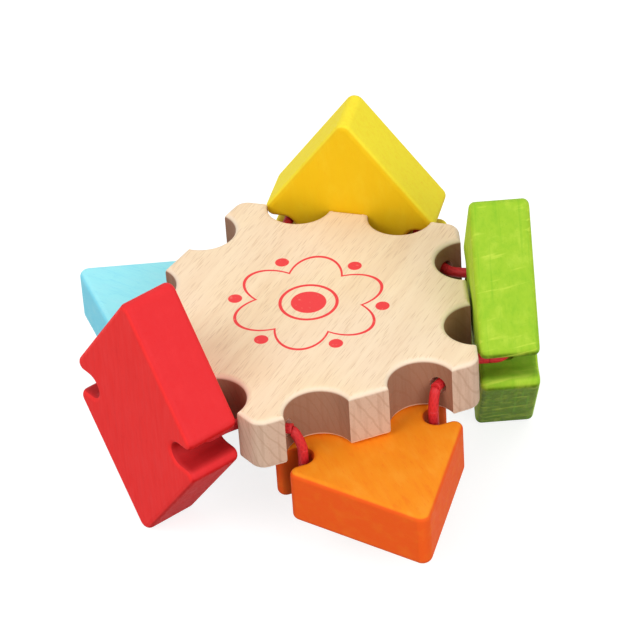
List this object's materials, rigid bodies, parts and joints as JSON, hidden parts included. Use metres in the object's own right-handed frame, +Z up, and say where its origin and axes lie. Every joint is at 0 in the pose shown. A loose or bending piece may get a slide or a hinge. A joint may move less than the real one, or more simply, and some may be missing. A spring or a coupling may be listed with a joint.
{
  "type": "wooden mirror toy",
  "caption": "Wooden baby toy: a flat beech hub with scooped edges and a mirror beneath, ringed by bright rhombic petals that fold on an elastic cord.",
  "frame": {"origin": "middle of the toy's bounding box, on the plane that its lowest petal tips stand on", "axes": "+Z up, square to the hub's top face; +Y from the orange petal's side of the hub towards the lobe between the yellow and blue petals; +X to the right"},
  "size_m": [0.1194, 0.1324, 0.0708],
  "materials": {
    "beech": "fine sanded, bare",
    "orange_stain": "stained, satin",
    "green_stain": "stained, satin",
    "yellow_stain": "stained, satin",
    "blue_stain": "stained, satin",
    "red_stain": "stained, satin",
    "elastic_cord": "braided",
    "mirror": "polished",
    "adhesive_foam": "matte foam"
  },
  "bodies": {
    "hub": {"center_block": "beech", "mirror_disc": "mirror", "mirror_adhesive_pad": "adhesive_foam", "cord_lobe_blue_red": "elastic_cord", "cord_lobe_green_yellow": "elastic_cord", "cord_lobe_orange_green": "elastic_cord", "cord_lobe_red_orange": "elastic_cord", "cord_lobe_yellow_blue": "elastic_cord"},
    "orange_links": {"cord_link_orange_left": "elastic_cord", "cord_link_orange_right": "elastic_cord"},
    "orange_run": {"cord_run_orange": "elastic_cord"},
    "orange_petal": {"petal_orange": "orange_stain"},
    "green_links": {"cord_link_green_left": "elastic_cord", "cord_link_green_right": "elastic_cord"},
    "green_run": {"cord_run_green": "elastic_cord"},
    "green_petal": {"petal_green": "green_stain"},
    "yellow_links": {"cord_link_yellow_left": "elastic_cord", "cord_link_yellow_right": "elastic_cord"},
    "yellow_run": {"cord_run_yellow": "elastic_cord"},
    "yellow_petal": {"petal_yellow": "yellow_stain"},
    "blue_links": {"cord_link_blue_left": "elastic_cord", "cord_link_blue_right": "elastic_cord"},
    "blue_run": {"cord_run_blue_left": "elastic_cord", "cord_run_blue_right": "elastic_cord", "cord_knot": "elastic_cord"},
    "blue_petal": {"petal_blue": "blue_stain"},
    "red_links": {"cord_link_red_left": "elastic_cord", "cord_link_red_right": "elastic_cord"},
    "red_run": {"cord_run_red": "elastic_cord"},
    "red_petal": {"petal_red": "red_stain"}
  },
  "joints": [
    {"name": "orange_fold", "type": "hinge", "parent": "hub", "child": "orange_links", "pos_m": [0.00011, -0.0333, 0.0354], "axis": [1, 0, 0], "range_deg": [-90, 0]},
    {"name": "orange_stretch", "type": "slide", "parent": "orange_links", "child": "orange_run", "axis": [0, 0, -1], "range_m": [-0.0039, 0], "deforming": ["cord_link_orange_left", "cord_link_orange_right"]},
    {"name": "orange_rock", "type": "hinge", "parent": "orange_run", "child": "orange_petal", "pos_m": [0.00051, -0.0311, 0.02009], "axis": [-1, -0.0087, 0], "range_deg": [0, 2.5]},
    {"name": "green_fold", "type": "hinge", "parent": "hub", "child": "green_links", "pos_m": [0.03803, -0.00575, 0.0354], "axis": [0.309, 0.9511, 0], "range_deg": [0, 90]},
    {"name": "green_stretch", "type": "slide", "parent": "green_links", "child": "green_run", "axis": [0.9511, -0.309, 0], "range_m": [0, 0.00812], "deforming": ["cord_link_green_left", "cord_link_green_right"]},
    {"name": "green_rock", "type": "hinge", "parent": "green_run", "child": "green_petal", "pos_m": [0.04596, -0.00917, 0.0354], "axis": [-0.3089, -0.9506, -0.0314], "range_deg": [0, 1.5]},
    {"name": "yellow_fold", "type": "hinge", "parent": "hub", "child": "yellow_links", "pos_m": [0.02355, 0.03882, 0.0354], "axis": [-0.809, 0.5878, 0], "range_deg": [0, 90]},
    {"name": "yellow_stretch", "type": "slide", "parent": "yellow_links", "child": "yellow_run", "axis": [0.5878, 0.809, 0], "range_m": [0, 0.00812], "deforming": ["cord_link_yellow_left", "cord_link_yellow_right"]},
    {"name": "yellow_rock", "type": "hinge", "parent": "yellow_run", "child": "yellow_petal", "pos_m": [0.0286, 0.04578, 0.0354], "axis": [0.809, -0.5878, 0], "range_deg": [-3.3, 0.7]},
    {"name": "blue_fold", "type": "hinge", "parent": "hub", "child": "blue_links", "pos_m": [-0.02332, 0.03882, 0.0354], "axis": [-0.809, -0.5878, 0], "range_deg": [-90, 0]},
    {"name": "blue_stretch", "type": "slide", "parent": "blue_links", "child": "blue_run", "axis": [0, 0, -1], "range_m": [-0.0039, 0], "deforming": ["cord_link_blue_left", "cord_link_blue_right"]},
    {"name": "blue_rock", "type": "hinge", "parent": "blue_run", "child": "blue_petal", "pos_m": [-0.02162, 0.03734, 0.02009], "axis": [0.809, 0.5878, 0], "range_deg": [0, 7]},
    {"name": "red_fold", "type": "hinge", "parent": "hub", "child": "red_links", "pos_m": [-0.0378, -0.00575, 0.0354], "axis": [0.309, -0.9511, 0], "range_deg": [0, 90]},
    {"name": "red_stretch", "type": "slide", "parent": "red_links", "child": "red_run", "axis": [-0.9511, -0.309, 0], "range_m": [0, 0.00812], "deforming": ["cord_link_red_left", "cord_link_red_right"]},
    {"name": "red_rock", "type": "hinge", "parent": "red_run", "child": "red_petal", "pos_m": [-0.04598, -0.00841, 0.0354], "axis": [-0.309, 0.9509, 0.0175], "range_deg": [0, 4]}
  ],
  "couplings": [
    {"joint": "orange_stretch", "follows": "orange_fold", "m_per_rad": 0.00248},
    {"joint": "green_stretch", "follows": "green_fold", "m_per_rad": 0.00517},
    {"joint": "yellow_stretch", "follows": "yellow_fold", "m_per_rad": 0.00517},
    {"joint": "blue_stretch", "follows": "blue_fold", "m_per_rad": 0.00248},
    {"joint": "red_stretch", "follows": "red_fold", "m_per_rad": 0.00517}
  ]
}
